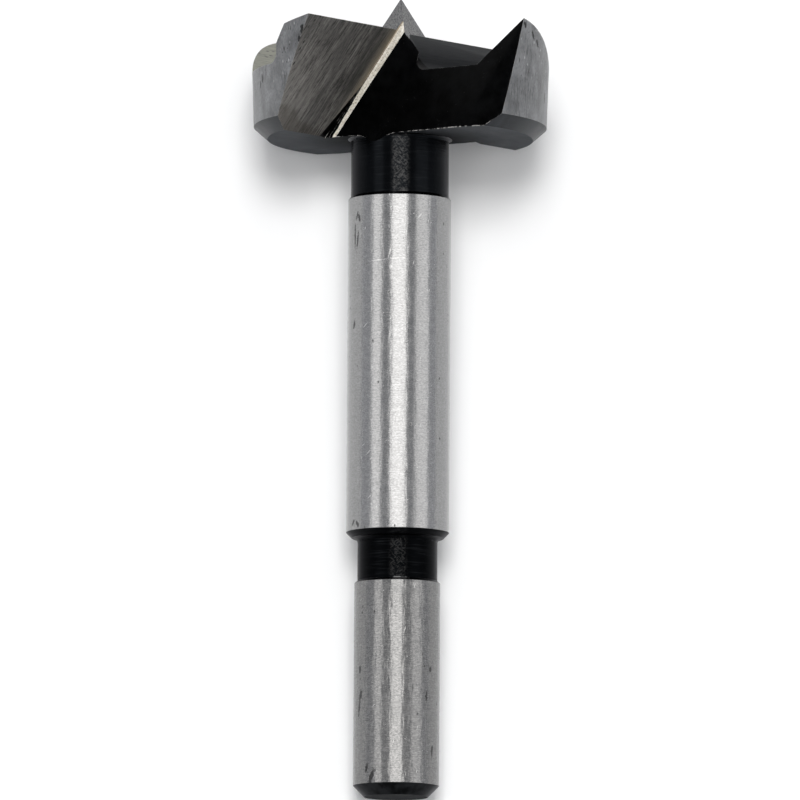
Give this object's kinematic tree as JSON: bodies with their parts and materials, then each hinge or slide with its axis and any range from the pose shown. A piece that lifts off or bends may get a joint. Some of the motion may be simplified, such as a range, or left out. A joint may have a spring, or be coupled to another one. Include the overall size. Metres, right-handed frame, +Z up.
{
  "type": "forstner bit",
  "caption": "Forstner bit for boring flat-bottomed holes in wood: a fluted cutting head with a centre point and rim spurs on a stepped round shank.",
  "frame": {"origin": "centre of the bounding box's base, on the surface that the bit lies on", "axes": "+Y runs from the shank end to the centre point along the surface, +Z is up; the bit lies on its head's rim and on the edge of its shank end, so its axis rises by 5.6 degrees towards the point"},
  "size_m": [0.0346, 0.0936, 0.0272],
  "materials": {
    "tool_steel": "ground bright on the body and shank, black heat scale in the flutes and neck"
  },
  "bodies": {
    "root": {"forstner_bit": "tool_steel"}
  },
  "joints": []
}
